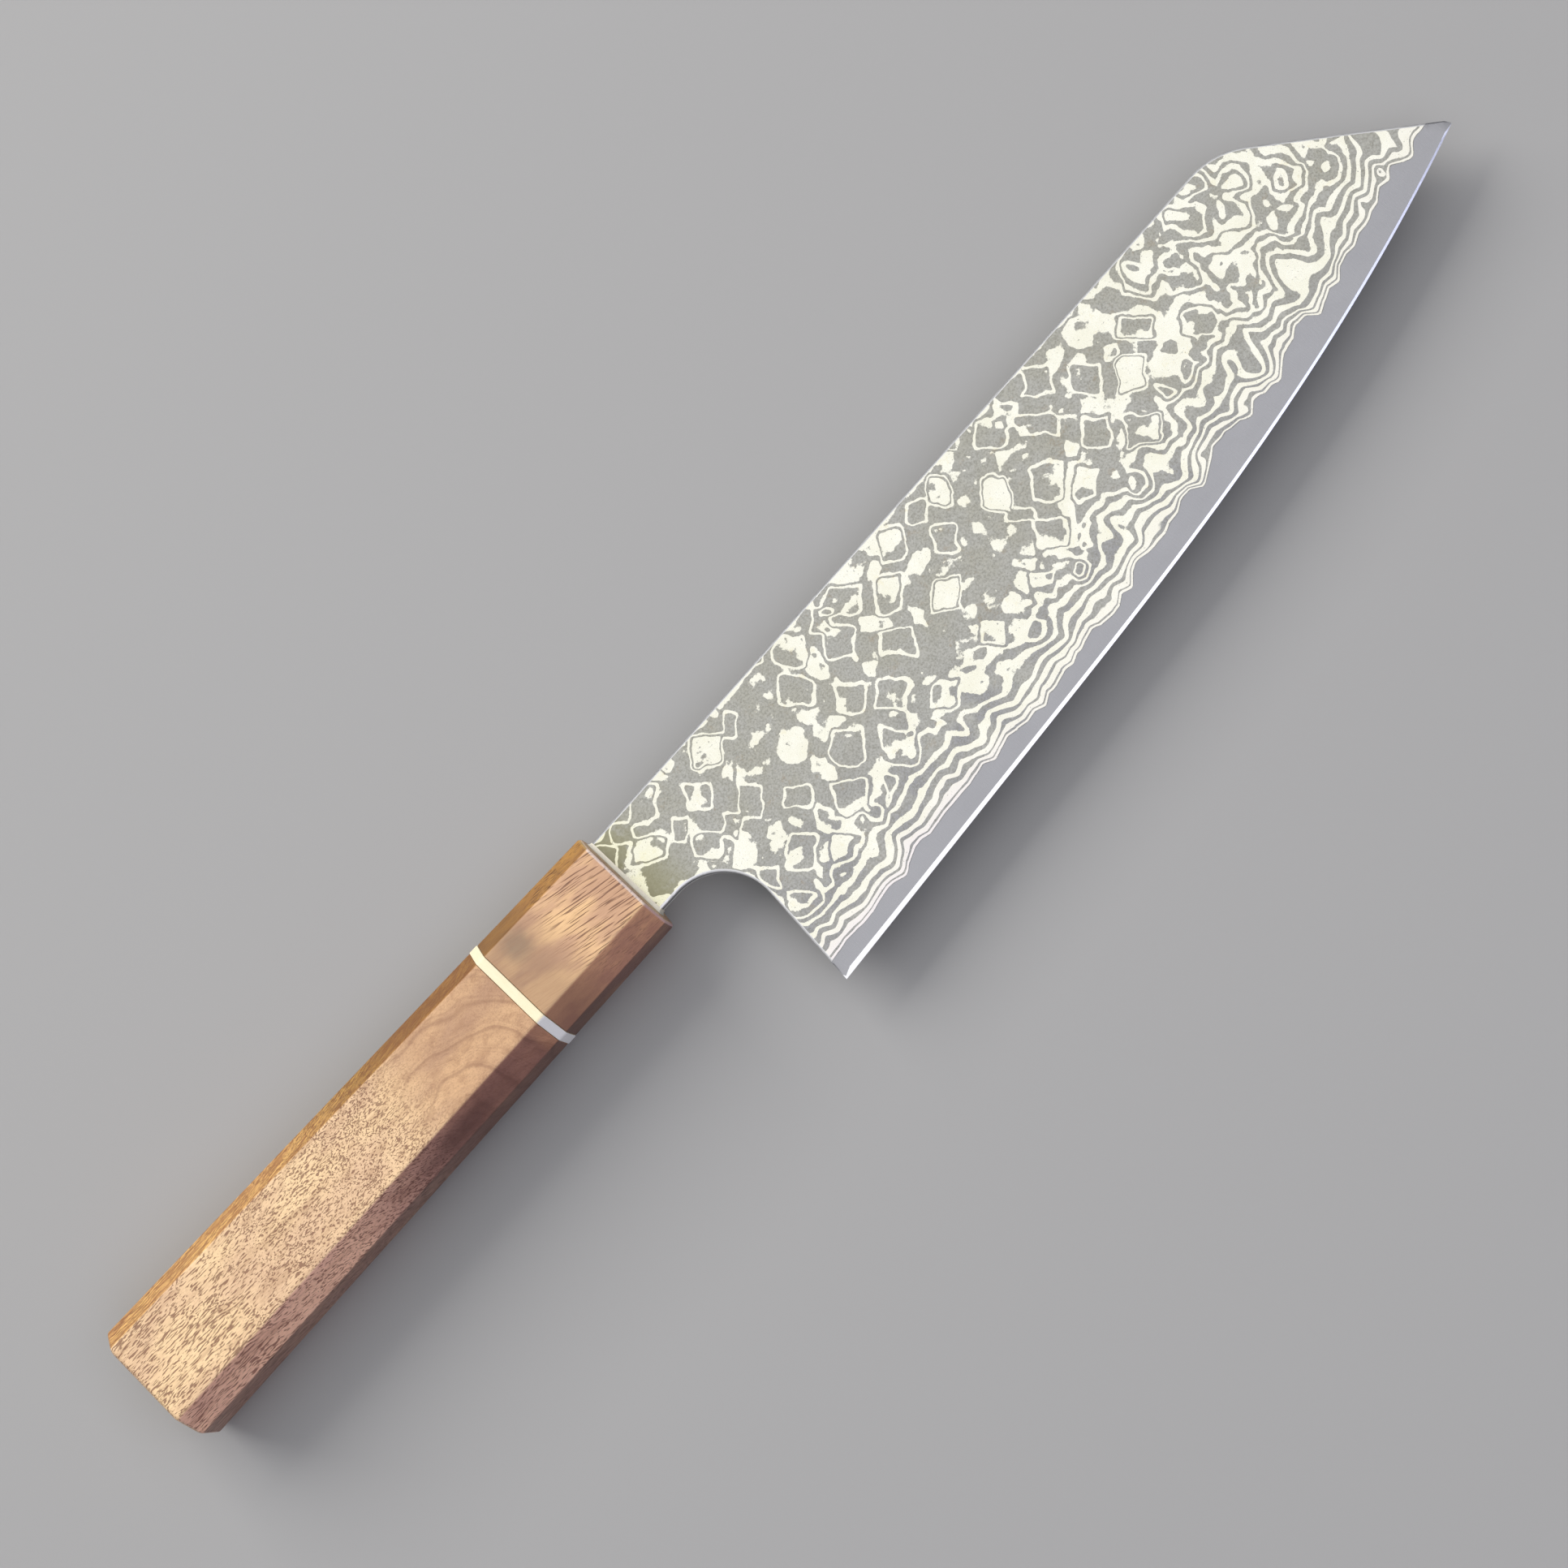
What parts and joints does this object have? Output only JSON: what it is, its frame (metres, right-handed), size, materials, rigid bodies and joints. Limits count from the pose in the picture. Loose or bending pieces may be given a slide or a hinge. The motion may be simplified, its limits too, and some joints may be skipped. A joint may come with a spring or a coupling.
{
  "type": "chef's knife",
  "caption": "Kitchen knife with a laminated, patterned steel blade, an angled tip, a rounded choil and an octagonal wooden handle with a pale spacer ring.",
  "frame": {"origin": "centre of the whole knife's box in X and Y, at its lowest level in Z, with the knife lying on its left side", "axes": "+X along the handle's axis towards the tip, +Y from the cutting edge towards the spine, +Z out of the blade's right face"},
  "size_m": [0.3128, 0.0524, 0.0194],
  "materials": {
    "core_steel": "satin, finely ground",
    "patterned_steel": "etched, with bright nickel lines",
    "walnut": "oiled satin",
    "pale_spacer": "satin ivory",
    "dowel_wood": "plain, glued in",
    "resin": "cured resin"
  },
  "bodies": {
    "root": {"blade_core": "core_steel", "cladding_right": "patterned_steel", "cladding_left": "patterned_steel", "ferrule": "walnut", "spacer_ring": "pale_spacer", "handle_body": "walnut", "handle_dowel": "dowel_wood", "tang_bedding": "resin", "tang_seal": "resin"}
  },
  "joints": []
}
